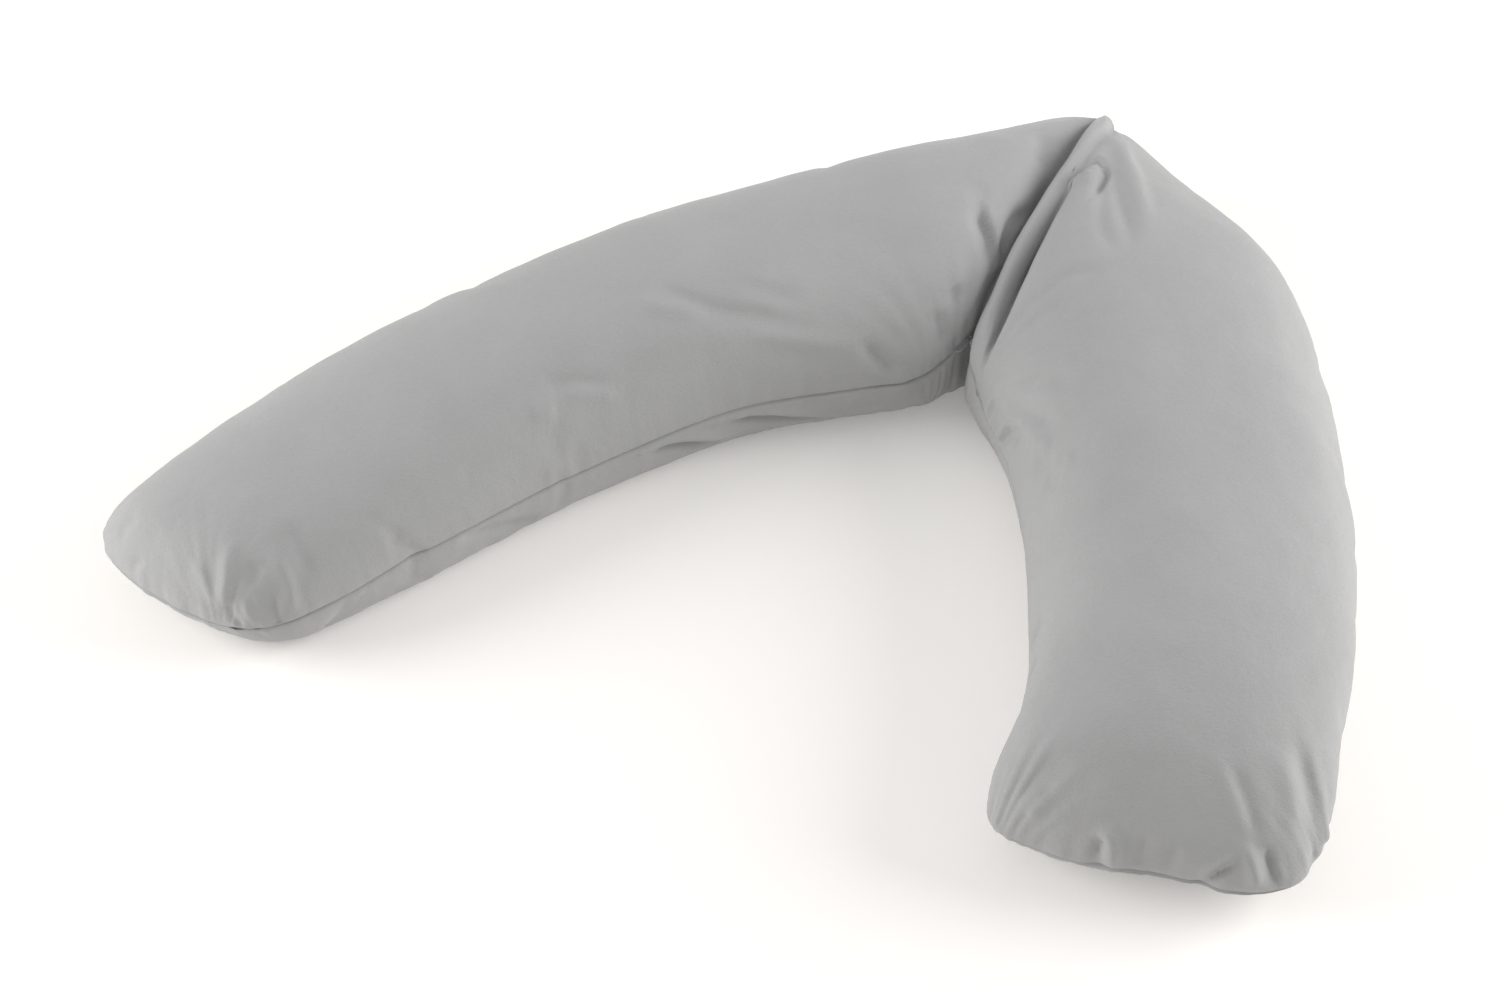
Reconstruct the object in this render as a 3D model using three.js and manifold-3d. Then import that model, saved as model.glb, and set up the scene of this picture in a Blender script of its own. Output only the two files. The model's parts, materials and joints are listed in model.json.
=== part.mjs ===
// A bent nursing pillow: a bead-filled inner cushion in a zipped cotton cover, folded at its middle so
// that the two arms lie in a V on the ground. Millimetres, +Z up, origin under the middle of the pillow.
import * as THREE from "three";
import { mergeVertices } from "three/addons/utils/BufferGeometryUtils.js";
import Module from "manifold-3d";

const wasm = await Module();
wasm.setup();

// Overall sizes
const leftReach = 1020; // from the fold's outer corner to the middle of the left tip
const rightReach = 830; // the same on the right arm
const width = 290; // across an arm, seam to seam
const height = 178; // ground to the crown
const seamHeight = 62; // ground to the side seam, which is below the middle
const leftHeading = -147.4; // degrees from +X, fold to left tip
const rightHeading = -91.3;

// The fold: each arm ends on a vertical plane through the fold's outer corner
const leftFoldPlane = -121; // degrees from +X
const rightFoldPlane = -113.5;
const foldClearance = 6; // from the fold's corner to each arm

// Cloth, from the outside in. A gap is left between every two layers.
const coverCloth = 1.2;
const sideEase = 5; // the cushion is this much smaller than its cover at the sides
const crownEase = 1.5; // and this much lower at the crown
const casingCloth = 0.8;
const fillGap = 1.4;
const fillBand = 0.3; // height of the filling's side, which has no seam
const seamGap = 0.7; // between an upper and a lower panel

// Zip, set into the left arm's outer seam along an arc
const zipRadius = 1.43 * leftReach;
const arcMiddle = 0.634 * leftReach; // along the left arm, where the arc is furthest out
const arcCrest = 0.47; // of the width, how far out that is
const zipLength = 480;
const zipMiddle = 0.534 * leftReach; // along the left arm
const zipOpening = 12; // height of the slot between the cover's folded edges
const tapeThickness = 0.8;
const tapeWidth = 4.6; // of each tape, inside the slot
const coilHeight = 1.9;
const coilDepth = 2;
const coilGap = 1.2; // between the two coils, where the slider's post runs
const tapeGap = 1.8;
const stopLength = 3;
const zipPartGap = 0.4;

// Slider and pull
const sliderLength = 12;
const sliderWidth = 9;
const plateThickness = 1.2;
const postWidth = 0.5;
const postLength = 3;
const crownLength = 9; // of the loop that holds the pull
const crownWidth = 2.2;
const crownBar = 1.1;
const crownSpace = 2.4;
const pullBar = 1.4; // square section of the pull's pivot bar
const pullWidth = 6.6;
const pullStart = 6; // from the pivot to the solid part of the tab
const pullLength = 24;
const pullSide = 1.3; // width of the two side bars

const labelLength = 45;
const labelHeight = 25;
const labelThickness = 0.5;

// Mesh density
const alongSteps = 20;
const acrossSteps = 10;
const tipDensity = 1.35; // 1 spaces the steps evenly, more brings them together at the tip

const degrees = Math.PI / 180;

// Both outlines run from the tip to the fold. A point is [along the arm / its reach, outwards / width], or
// a single number where the outer seam follows the zip's arc. seam and crown are shares of seamHeight and
// height. The last station is on the arm's fold plane.
const leftArm = {
  reach: leftReach,
  heading: leftHeading,
  foldPlane: leftFoldPlane,
  outwards: -1, // the outer side is clockwise of the heading
  foldWidth: 350,
  stations: [
    { outer: [1.022, 0.29], inner: [0.978, -0.29], seam: 0.6, crown: 0.52 },
    { outer: [0.96, 0.34], inner: [0.91, -0.36], seam: 0.78, crown: 0.72 },
    { outer: 0.81, inner: [0.794, -0.34], seam: 1, crown: 0.89 },
    { outer: 0.65, inner: [0.644, -0.34], seam: 1, crown: 0.94 },
    { outer: 0.45, inner: [0.49, -0.38], seam: 1, crown: 0.97 },
    { outer: 0.25, inner: [0.377, -0.5], seam: 1, crown: 0.97 },
    { outer: [0.12, 0.15], inner: [0.35, -0.505], seam: 1, crown: 0.94 },
    { seam: 1.05, crown: 0.84 },
  ],
};
const rightArm = {
  reach: rightReach,
  heading: rightHeading,
  foldPlane: rightFoldPlane,
  outwards: 1,
  foldWidth: 370,
  stations: [
    { outer: [1.009, 0.48], inner: [0.991, -0.48], seam: 0.6, crown: 0.54 },
    { outer: [0.886, 0.55], inner: [0.934, -0.47], seam: 0.78, crown: 0.79 },
    { outer: [0.753, 0.64], inner: [0.864, -0.41], seam: 0.9, crown: 0.94 },
    { outer: [0.601, 0.66], inner: [0.785, -0.36], seam: 0.95, crown: 0.99 },
    { outer: [0.42, 0.65], inner: [0.7, -0.34], seam: 0.95, crown: 1 },
    { outer: [0.249, 0.54], inner: [0.609, -0.34], seam: 0.95, crown: 0.99 },
    { outer: [0.111, 0.35], inner: [0.513, -0.37], seam: 0.95, crown: 0.97 },
    { outer: [0.032, 0.17], inner: [0.48, -0.435], seam: 0.95, crown: 0.93 },
    { seam: 1.05, crown: 0.84 },
  ],
};

const direction = (angle) =>
  new THREE.Vector2(Math.cos(angle * degrees), Math.sin(angle * degrees));

// A point in the plan from one in an arm's own frame, in millimetres along and outwards.
function inPlan(arm, along, out) {
  const ahead = direction(arm.heading);
  const side = direction(arm.heading + 90 * arm.outwards);
  return ahead.multiplyScalar(along).addScaledVector(side, out);
}

const zipCentreOut = arcCrest * width - zipRadius;
const zipCentre = inPlan(leftArm, arcMiddle, zipCentreOut);

function zipEdge(along) {
  const out = zipCentreOut + Math.sqrt(zipRadius ** 2 - (along - arcMiddle) ** 2);
  return inPlan(leftArm, along, out);
}

// The curve through one side of an arm's stations, with the seam's and the crown's height beside it.
function armCurve(arm, side) {
  return new THREE.CatmullRomCurve3(
    arm.stations.map((station) => {
      const point = station[side];
      let place;
      if (point === undefined) {
        const from = side === "outer" ? foldClearance : foldClearance + arm.foldWidth;
        place = direction(arm.foldPlane).multiplyScalar(from);
      } else if (typeof point === "number") {
        place = zipEdge(point * arm.reach);
      } else {
        place = inPlan(arm, point[0] * arm.reach, point[1] * width);
      }
      return new THREE.Vector3(place.x, place.y, station.seam * seamHeight);
    }),
    false,
    "catmullrom",
    0.5,
  );
}

function crownCurve(arm) {
  const heights = arm.stations.map((station) => station.crown * height);
  return new THREE.SplineCurve(heights.map((z, i) => new THREE.Vector2(i, z)));
}

const arms = {
  left: { ...leftArm, outer: armCurve(leftArm, "outer"), inner: armCurve(leftArm, "inner"), crown: crownCurve(leftArm) },
  right: { ...rightArm, outer: armCurve(rightArm, "outer"), inner: armCurve(rightArm, "inner"), crown: crownCurve(rightArm) },
};

const tipStations = 1.25; // how many stations the rounded tip takes up
const tipRounding = 0.32; // 0 keeps the tip's corners square, 0.5 makes it an ellipse

// A point on one layer of an arm. u runs from the tip to the fold and v across the arm from its left seam
// to its right one as seen from the tip, both 0 to 1. side is 1 on top and -1 below. inset moves the layer
// in from the cover's outside.
function layerPoint(arm, u, v, side, inset, crownInset) {
  const last = arm.stations.length - 1;
  const fromTip = u * last;
  const intoTip = Math.max(0, 1 - fromTip / tipStations);
  const across = arm.outwards * (1 - 2 * v); // -1 at the inner seam, 1 at the outer
  const roundedTip = intoTip * Math.sqrt(1 - tipRounding * across ** 2);
  const roundedAcross = across * Math.sqrt(1 - tipRounding * intoTip ** 2);
  const station = intoTip > 0 ? tipStations * (1 - roundedTip) : fromTip;
  const t = station / last;
  const tipInset = inset * Math.min(1, 2 * intoTip);
  const outer = arm.outer.getPoint(t).addScaledVector(arm.outer.getTangent(t), tipInset);
  const inner = arm.inner.getPoint(t).addScaledVector(arm.inner.getTangent(t), tipInset);
  const crown = arm.crown.getPoint(t).y - crownInset;
  const share = 0.5 - 0.5 * Math.cos((Math.PI * (1 + roundedAcross)) / 2);
  const acrossArm = new THREE.Vector2(outer.x - inner.x, outer.y - inner.y);
  const span = acrossArm.length();
  acrossArm.normalize();
  const sideways = inset + share * (span - 2 * inset);
  const x = inner.x + acrossArm.x * sideways;
  const y = inner.y + acrossArm.y * sideways;
  const seam = inner.z + share * (outer.z - inner.z);
  const edge = Math.sin((Math.PI * Math.abs(across)) / 2);
  const tipFall = 1 - intoTip ** 3;
  if (side > 0) {
    const bulge = Math.sqrt((1 - edge ** 2.3) * tipFall);
    return new THREE.Vector3(x, y, seam + (crown - seam) * bulge);
  }
  const belly = ((1 - edge ** 4) * tipFall) ** 0.45;
  const flattened = Math.min(1, belly * 1.08);
  return new THREE.Vector3(x, y, seam - (seam - crownInset) * flattened);
}

// A closed solid bent out of a divided box: place(u, v, w) says where each point of the box goes.
function bentBox(stepsAlong, stepsAcross, place) {
  const box = new THREE.BoxGeometry(1, 1, 1, stepsAlong, stepsAcross, 1);
  const position = box.getAttribute("position");
  const point = new THREE.Vector3();
  for (let i = 0; i < position.count; i++) {
    point.fromBufferAttribute(position, i);
    const to = place((point.x + 0.5) ** tipDensity, point.y + 0.5, point.z + 0.5);
    position.setXYZ(i, to.x, to.y, to.z);
  }
  // The squares of the back face are cut along the other diagonal from those of the front one. Cutting
  // them alike keeps two layers with one shape from crossing.
  const corners = box.index;
  const back = box.groups[5];
  for (let i = back.start; i < back.start + back.count; i += 6) {
    const [a, b, c, d] = [0, 1, 4, 2].map((k) => corners.getX(i + k));
    [a, b, c, a, c, d].forEach((corner, k) => corners.setX(i + k, corner));
  }
  return box;
}

// One cloth panel: a shell between two insets of the arm's upper or lower side.
function panel(arm, side, outside, outsideCrown, cloth) {
  return bentBox(alongSteps, acrossSteps, (u, v, w) => {
    const deeper = (side > 0 ? 1 - w : w) * cloth;
    const point = layerPoint(arm, u, v, side, outside + deeper, outsideCrown + deeper);
    point.z += (side * seamGap) / 2;
    return point;
  });
}

function filling(arm, inset, crownInset) {
  return bentBox(alongSteps, acrossSteps, (u, v, w) => {
    const side = w > 0.5 ? 1 : -1;
    const point = layerPoint(arm, u, v, side, inset, crownInset);
    if (u === 0 || v === 0 || v === 1) point.z += (side * fillBand) / 2;
    return point;
  });
}

// manifold-3d solids and back
function toSolid(geometry) {
  const bare = geometry.index ? geometry.toNonIndexed() : geometry.clone();
  bare.deleteAttribute("normal");
  bare.deleteAttribute("uv");
  const merged = mergeVertices(bare, 1e-3);
  return new wasm.Manifold(
    new wasm.Mesh({
      numProp: 3,
      vertProperties: merged.getAttribute("position").array,
      triVerts: new Uint32Array(merged.index.array),
    }),
  );
}

function toGeometry(solid) {
  const mesh = solid.getMesh();
  const geometry = new THREE.BufferGeometry();
  geometry.setAttribute("position", new THREE.BufferAttribute(mesh.vertProperties, 3));
  geometry.setIndex(new THREE.BufferAttribute(mesh.triVerts, 1));
  geometry.computeVertexNormals();
  return geometry;
}

// The zip's own frame: an angle about the arc's centre, a radius from it, and a height.
const zipAngle = zipLength / zipRadius;
const middleAngle = zipEdge(zipMiddle).sub(zipCentre).angle();
const closedAngle = middleAngle - zipAngle / 2; // the end nearer the fold
const openAngle = middleAngle + zipAngle / 2;

// A strip of the zip between two angles, two radii and two heights, as an extruded ring sector.
function zipStrip(fromAngle, toAngle, innerRadius, outerRadius, bottom, top, segments = 24) {
  const shape = new THREE.Shape();
  shape.absarc(zipCentre.x, zipCentre.y, outerRadius, fromAngle, toAngle, false);
  shape.absarc(zipCentre.x, zipCentre.y, innerRadius, toAngle, fromAngle, true);
  const strip = new THREE.ExtrudeGeometry(shape, {
    depth: top - bottom,
    bevelEnabled: false,
    curveSegments: segments,
  });
  return strip.translate(0, 0, bottom);
}

// A small block in the slider's frame: x along the zip towards its closed end, y outwards, z up.
function sliderBlock(size, centre) {
  return new THREE.BoxGeometry(...size).translate(...centre);
}

const millimetresToAngle = (length) => length / zipRadius;
const stopAngle = millimetresToAngle(stopLength + zipPartGap);
const coilInner = zipRadius + tapeThickness / 2 + 0.2;
const coilOuter = coilInner + coilDepth;
const plateOuterFace = coilOuter - zipRadius + zipPartGap;
const plateInnerFace = -tapeThickness / 2 - zipPartGap;
const crownFloor = plateOuterFace + plateThickness;
const pivotOut = crownFloor + crownSpace / 2;

function cutForZip(panelGeometry) {
  const slot = zipStrip(
    closedAngle - millimetresToAngle(1),
    openAngle + millimetresToAngle(1),
    zipRadius - 12,
    zipRadius + 12,
    seamHeight - zipOpening / 2,
    seamHeight + zipOpening / 2,
  );
  return toGeometry(toSolid(panelGeometry).subtract(toSolid(slot)));
}

function tape(side) {
  const near = seamHeight + (side * tapeGap) / 2;
  const far = near + side * tapeWidth;
  return zipStrip(
    closedAngle,
    openAngle,
    zipRadius - tapeThickness / 2,
    zipRadius + tapeThickness / 2,
    Math.min(near, far),
    Math.max(near, far),
  );
}

function coil(side) {
  const near = seamHeight + (side * coilGap) / 2;
  const far = near + side * coilHeight;
  return zipStrip(
    closedAngle + stopAngle,
    openAngle - stopAngle,
    coilInner,
    coilOuter,
    Math.min(near, far),
    Math.max(near, far),
  );
}

function stop(atOpenEnd) {
  const from = atOpenEnd ? openAngle - millimetresToAngle(stopLength) : closedAngle;
  const half = coilGap / 2 + coilHeight;
  return zipStrip(
    from,
    from + millimetresToAngle(stopLength),
    coilInner,
    coilOuter,
    seamHeight - half,
    seamHeight + half,
    2,
  );
}

// Two plates either side of the tapes, a post between the coils and a loop for the pull.
function slider() {
  const outerPlate = sliderBlock(
    [sliderLength, plateThickness, sliderWidth],
    [0, plateOuterFace + plateThickness / 2, 0],
  );
  const innerPlate = sliderBlock(
    [sliderLength, plateThickness, sliderWidth],
    [0, plateInnerFace - plateThickness / 2, 0],
  );
  const postFrom = plateInnerFace - plateThickness / 2;
  const postTo = plateOuterFace + plateThickness / 2;
  const post = sliderBlock([postLength, postTo - postFrom, postWidth], [0, (postFrom + postTo) / 2, 0]);
  const loopTop = sliderBlock(
    [crownLength, crownBar, crownWidth],
    [0, crownFloor + crownSpace + crownBar / 2, 0],
  );
  const legs = [-1, 1].map((end) =>
    sliderBlock(
      [crownBar, crownSpace + 2 * crownBar, crownWidth],
      [(end * (crownLength - crownBar)) / 2, crownFloor + crownSpace / 2, 0],
    ),
  );
  const pieces = [innerPlate, post, loopTop, ...legs].map(toSolid);
  return toGeometry(pieces.reduce((whole, piece) => whole.add(piece), toSolid(outerPlate)));
}

// The pull: a pivot bar under the loop, two side bars and a round-ended tab that lies over the closed coils.
function pull() {
  const bar = toSolid(sliderBlock([pullBar, pullBar, pullWidth], [0, pivotOut, 0]));
  const sideBars = [-1, 1].map((end) =>
    toSolid(
      sliderBlock(
        [pullStart + pullBar, pullBar, pullSide],
        [-pullStart / 2, pivotOut, (end * (pullWidth - pullSide)) / 2],
      ),
    ),
  );
  const outline = new THREE.Shape();
  const half = pullWidth / 2;
  outline.moveTo(-pullStart, half);
  outline.lineTo(half - pullLength, half);
  outline.absarc(half - pullLength, 0, half, Math.PI / 2, -Math.PI / 2, false);
  outline.lineTo(-pullStart, -half);
  const tab = new THREE.ExtrudeGeometry(outline, { depth: pullBar, bevelEnabled: false, curveSegments: 8 });
  tab.rotateX(Math.PI / 2).translate(0, pivotOut + pullBar / 2, 0);
  return toGeometry(sideBars.reduce((whole, piece) => whole.add(piece), bar).add(toSolid(tab)));
}

const pillow = new THREE.Group();

function cloth(colour, roughness) {
  return new THREE.MeshStandardMaterial({ color: colour, roughness, metalness: 0 });
}

const finishes = {
  cover: cloth("#b4b5b7", 0.92),
  casing: cloth("#f1efe9", 0.95),
  beads: cloth("#fbfbf8", 0.8),
  tape: cloth("#a9abae", 0.9),
  coil: new THREE.MeshStandardMaterial({ color: "#9b9da0", roughness: 0.45, metalness: 0 }),
  metal: new THREE.MeshStandardMaterial({ color: "#a5a7aa", roughness: 0.35, metalness: 0.9 }),
  label: cloth("#f4f4f2", 0.8),
};

function add(name, geometry, finish, parent = pillow) {
  const mesh = new THREE.Mesh(geometry, finishes[finish]);
  mesh.name = name;
  parent.add(mesh);
  return mesh;
}

const casingInset = coverCloth + sideEase;
const casingCrown = coverCloth + crownEase;
const fillInset = casingInset + casingCloth + fillGap;
const fillCrown = casingCrown + casingCloth + fillGap;

for (const [hand, arm] of Object.entries(arms)) {
  for (const [level, side] of [["top", 1], ["bottom", -1]]) {
    const cover = panel(arm, side, 0, 0, coverCloth);
    add(`cover_${level}_${hand}`, hand === "left" ? cutForZip(cover) : cover, "cover");
    add(`casing_${level}_${hand}`, panel(arm, side, casingInset, casingCrown, casingCloth), "casing");
  }
  add(`bead_fill_${hand}`, filling(arm, fillInset, fillCrown), "beads");
}

for (const [level, side] of [["upper", 1], ["lower", -1]]) {
  add(`zip_tape_${level}`, tape(side), "tape");
  add(`zip_coil_${level}`, coil(side), "coil");
}
add("zip_stop_closed", stop(false), "metal");
add("zip_stop_open", stop(true), "metal");

// The slider rests against the stop at the closed end, in a group turned to face outwards there.
const restAngle = closedAngle + stopAngle + millimetresToAngle(sliderLength / 2 + zipPartGap);
const travelAngle = openAngle - stopAngle - millimetresToAngle(sliderLength / 2 + zipPartGap) - restAngle;
const sliderPlace = new THREE.Group();
sliderPlace.rotation.z = restAngle - Math.PI / 2;
sliderPlace.position.set(
  zipCentre.x + zipRadius * Math.cos(restAngle),
  zipCentre.y + zipRadius * Math.sin(restAngle),
  seamHeight,
);
pillow.add(sliderPlace);
add("zip_slider", slider(), "metal", sliderPlace);
add("zip_pull", pull(), "metal", sliderPlace);

// The blank care label stands between the zip and the casing, near the zip's open end.
const labelRadius = zipRadius - coverCloth - sideEase / 2 - labelThickness;
const labelFrom = openAngle - millimetresToAngle(labelLength + 10);
add(
  "care_label",
  zipStrip(
    labelFrom,
    labelFrom + millimetresToAngle(labelLength),
    labelRadius - labelThickness / 2,
    labelRadius + labelThickness / 2,
    seamHeight - labelHeight / 2,
    seamHeight + labelHeight / 2,
    4,
  ),
  "label",
);

// Moves the whole so that the origin is on the ground under the middle of its box.
pillow.updateMatrixWorld(true);
const box = new THREE.Box3().setFromObject(pillow);
const middle = box.getCenter(new THREE.Vector3());
pillow.position.set(-middle.x, -middle.y, -box.min.z);

export default pillow;
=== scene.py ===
import math

import bmesh
import bpy
import numpy as np
from mathutils import Matrix, Vector, noise
from mathutils.kdtree import KDTree
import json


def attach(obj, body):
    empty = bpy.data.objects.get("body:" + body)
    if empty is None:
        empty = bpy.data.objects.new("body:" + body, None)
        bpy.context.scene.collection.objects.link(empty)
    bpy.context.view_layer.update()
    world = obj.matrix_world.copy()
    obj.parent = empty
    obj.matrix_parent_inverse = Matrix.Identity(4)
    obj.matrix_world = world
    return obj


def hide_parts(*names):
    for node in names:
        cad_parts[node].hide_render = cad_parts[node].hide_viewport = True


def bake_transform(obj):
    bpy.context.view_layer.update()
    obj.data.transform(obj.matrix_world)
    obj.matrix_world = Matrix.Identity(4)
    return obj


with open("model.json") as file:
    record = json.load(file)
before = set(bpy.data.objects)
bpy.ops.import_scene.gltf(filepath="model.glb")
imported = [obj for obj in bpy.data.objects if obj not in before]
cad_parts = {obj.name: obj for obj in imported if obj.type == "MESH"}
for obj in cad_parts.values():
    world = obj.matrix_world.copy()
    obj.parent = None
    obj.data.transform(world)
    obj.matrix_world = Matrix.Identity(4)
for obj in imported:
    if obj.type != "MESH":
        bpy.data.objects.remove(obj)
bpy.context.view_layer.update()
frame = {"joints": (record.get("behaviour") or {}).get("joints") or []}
joints = {j["name"]: j for j in frame["joints"]}

print("camera")
view = {
    "middle": (0.0228, 0.0167),
    "elevation": 50,
    "distance": 2.37,
    "lens": 62.4,
    "sensor": 36,
}
tilt = math.radians(view["elevation"])
cameraData = bpy.data.cameras.new("camera")
cameraData.lens = view["lens"]
cameraData.sensor_width = view["sensor"]
camera = bpy.data.objects.new("camera", cameraData)
camera.location = (
    view["middle"][0],
    view["middle"][1] - view["distance"] * math.cos(tilt),
    view["distance"] * math.sin(tilt),
)
camera.rotation_euler = (math.pi / 2 - tilt, 0, 0)
bpy.context.scene.collection.objects.link(camera)
bpy.context.scene.camera = camera
bpy.context.scene.view_settings.view_transform = "Standard"

# The pillow's outline and height from the left tip, through the fold, to the right tip. Each station is
# (outer seam x, y), (inner seam x, y), height of the outer seam, of the inner seam and of the crown, in mm,
# and how full the outer shoulder is: 2 is round, 1 slopes straight from the crown to the seam.
stations = [
    ((-569, -70), (-430, -177), 36, 44, 88, 1.9),
    ((-517, -27), (-362, -165), 46, 52, 119, 1.8),
    ((-399, 77), (-264, -107), 61, 58, 142, 1.7),
    ((-267, 174), (-136, -22), 62, 59, 155, 1.65),
    ((-89, 275), (5, 55), 62, 60, 162, 1.65),
    ((105, 351), (119, 84), 62, 61, 163, 1.65),
    ((238, 391), (178, 96), 64, 62, 162, 1.7),
    ((324, 426), (204, 113), 69, 74, 153, 1.6),
    ((373, 434), (218, 118), 73, 85, 141, 1.45),  # the fold's crease
    ((386, 424), (215, 98), 72, 78, 149, 1.35),
    ((391, 416), (226, 70), 71, 60, 150, 1.25),  # the groove beside it
    ((410, 391), (236, 46), 66, 52, 159, 1.45),
    ((453, 326), (248, 0), 63, 50, 165, 1.45),
    ((520, 211), (256, -78), 61, 50, 172, 1.8),
    ((546, 65), (255, -152), 60, 50, 174, 1.87),
    ((547, -84), (249, -222), 60, 50, 172, 1.87),
    ((530, -213), (232, -288), 58, 48, 165, 1.87),
    ((504, -322), (213, -344), 50, 45, 143, 1.85),
    ((478, -451), (208, -388), 34, 40, 96, 1.9),
]
creaseStation, grooveStation = 8, 10
shape = {
    "rows": 280,  # of the mesh along the pillow
    "across": 32,  # and across it
    "closerAtSeam": 0.35,
    "tipStations": 1.25,  # how many stations each tip's rounding takes up
    "tipRounding": 0.46,  # 0 is a square end, 1 a half circle
    "tipFall": 3,  # how late the crown comes down to the seam at a tip
    "tipUndercut": 1.7,  # and how late the lower panel comes up to it
    "topRoundness": 2.3,  # 2 is an ellipse, more is boxier
    "bottomFlatness": 6,
    "bottomLean": 1.5,  # how much steeper the inner side stands than the outer one
    "bottomFlatnessAtTips": -2.5,
    "bottomFullness": 0.45,
    "bottomFullnessAtTips": 0.35,
    "bottomPressed": 1.08,  # above 1, the pillow rests on a broad flat underside
    "seamCrease": 0.55,
    "panelStart": 30,  # how soon the panels' own middle begins, from the tips
    "merge": 1e-5,
}


def curveThrough(points, t):
    # a smooth curve through rows of points, at the parameters t
    last = len(points) - 1
    i = np.clip(t.astype(int), 0, last - 1)
    f = (t - i)[:, None]
    padded = np.vstack([2 * points[0] - points[1], points, 2 * points[-1] - points[-2]])
    before, here, after, beyond = (padded[i + k] for k in range(4))
    square = 2 * before - 5 * here + 4 * after - beyond
    cube = 3 * (here - after) + beyond - before
    return here + 0.5 * f * (after - before + f * (square + f * cube))


stationRows = np.array([[*outer, *inner, *heights] for outer, inner, *heights in stations], float)
stationRows[:, :7] /= 1000
middles = (stationRows[:, 0:2] + stationRows[:, 2:4]) / 2
rowShare = np.concatenate([[0], np.cumsum(np.linalg.norm(np.diff(middles, axis=0), axis=1) ** 0.7)])
rowShare /= rowShare[-1]  # where each station comes in the mesh: its rows lie closer at the fold and the tips


def pillowPoints(along, across, side):
    # points of the upper (side 1) or lower (side -1) panel, along from 0 to 1 and across from -1 to 1
    last = len(stations) - 1
    t = along * last
    tip = shape["tipStations"]
    into = np.clip(np.maximum(tip - t, t - (last - tip)) / tip, 0, 1)
    reach = into * np.sqrt(1 - shape["tipRounding"] * across**2)
    t = np.where(into > 0, np.where(t < last / 2, tip * (1 - reach), last - tip * (1 - reach)), t)
    rows = curveThrough(stationRows, np.clip(t, 0, last - 1e-9))
    roundedAcross = across * np.sqrt(1 - shape["tipRounding"] * into**2)
    share = (0.5 + 0.5 * np.sin(math.pi / 2 * roundedAcross))[:, None]
    place = rows[:, 2:4] * (1 - share) + rows[:, 0:2] * share
    seam = rows[:, 5] * (1 - share[:, 0]) + rows[:, 4] * share[:, 0]
    edge = np.abs(np.sin(math.pi / 2 * across))
    tipFall = 1 - into ** shape["tipFall"]
    if side > 0:
        fullness = np.where(across > 0, rows[:, 7], 2)
        bulge = np.clip((1 - edge ** shape["topRoundness"]) * tipFall, 0, 1) ** (1 / fullness)
        z = seam + (rows[:, 6] - seam) * bulge
    else:
        flatness = shape["bottomFlatness"] - shape["bottomLean"] * across
        flatness += shape["bottomFlatnessAtTips"] * into
        fullness = shape["bottomFullness"] + shape["bottomFullnessAtTips"] * into
        belly = np.clip((1 - edge**flatness) * (1 - into ** shape["tipUndercut"]), 0, 1) ** fullness
        z = seam * (1 - np.minimum(1, belly * shape["bottomPressed"]))
    return np.column_stack([place, z])


def vertexArray(mesh, kind="co"):
    values = np.empty(len(mesh.vertices) * 3)
    mesh.vertices.foreach_get(kind, values)
    return values.reshape(-1, 3)


def setVertices(mesh, points):
    mesh.vertices.foreach_set("co", np.ascontiguousarray(points, dtype=float).ravel())
    mesh.update()


def newObject(name, mesh):
    made = bpy.data.objects.new(name, mesh)
    bpy.context.scene.collection.objects.link(made)
    return made


def applyModifiers(piece):
    depsgraph = bpy.context.evaluated_depsgraph_get()
    mesh = bpy.data.meshes.new_from_object(piece.evaluated_get(depsgraph), depsgraph=depsgraph)
    piece.modifiers.clear()
    piece.data = mesh


def closedPillow():
    # both panels as one closed mesh: a grid each, moved on to the pillow and merged along the seam
    bm = bmesh.new()
    sideLayer = bm.verts.layers.float.new("side")
    alongLayer = bm.verts.layers.float.new("along")
    acrossLayer = bm.verts.layers.float.new("across")
    creaseLayer = bm.edges.layers.float.new("crease_edge")
    for side in (1, -1):
        made = bmesh.ops.create_grid(bm, x_segments=shape["rows"], y_segments=shape["across"], size=1)
        grid = made["verts"]
        flat = np.array([v.co for v in grid])
        along = np.interp((flat[:, 0] + 1) / 2, rowShare, np.linspace(0, 1, len(stations)))
        across = flat[:, 1] * (1 + shape["closerAtSeam"] * (1 - flat[:, 1] ** 2))
        points = pillowPoints(along, across, side)
        inside = side * (1 - across**2) * np.minimum(1, shape["panelStart"] * along * (1 - along))
        for v, point, a, b, c in zip(grid, points, along, across, inside):
            v.co = point
            v[sideLayer], v[alongLayer], v[acrossLayer] = c, a, b
        for face in {f for v in grid for f in v.link_faces}:
            face.material_index = 0 if side > 0 else 1
            face.smooth = True
        if side < 0:
            bmesh.ops.reverse_faces(bm, faces=list({f for v in grid for f in v.link_faces}))
    for edge in bm.edges:
        if edge.is_boundary:
            edge[creaseLayer] = shape["seamCrease"]
    bmesh.ops.remove_doubles(bm, verts=bm.verts, dist=shape["merge"])
    bmesh.ops.recalc_face_normals(bm, faces=bm.faces)
    if bm.calc_volume(signed=True) < 0:
        bmesh.ops.reverse_faces(bm, faces=bm.faces)
    mesh = bpy.data.meshes.new("pillow")
    bm.to_mesh(mesh)
    bm.free()
    return mesh


print("pillow form")
pillow = newObject("pillow", closedPillow())
restShape = vertexArray(pillow.data)

softness = {
    "pressure": 4,
    "extraCloth": 0.012,  # how much larger the cover is than the form it starts from
    "mass": 0.2,
    "stretch": 12,
    "shear": 6,
    "bending": 0.4,
    "quality": 4,
    "frames": 16,
    "resting": 0.004,  # metres from the ground, below which the cover is held by it
    "heldOnGround": 0.9,
    "heldElsewhere": 0.04,
    "furthest": 0.010,  # metres that a point may move
}


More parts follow.
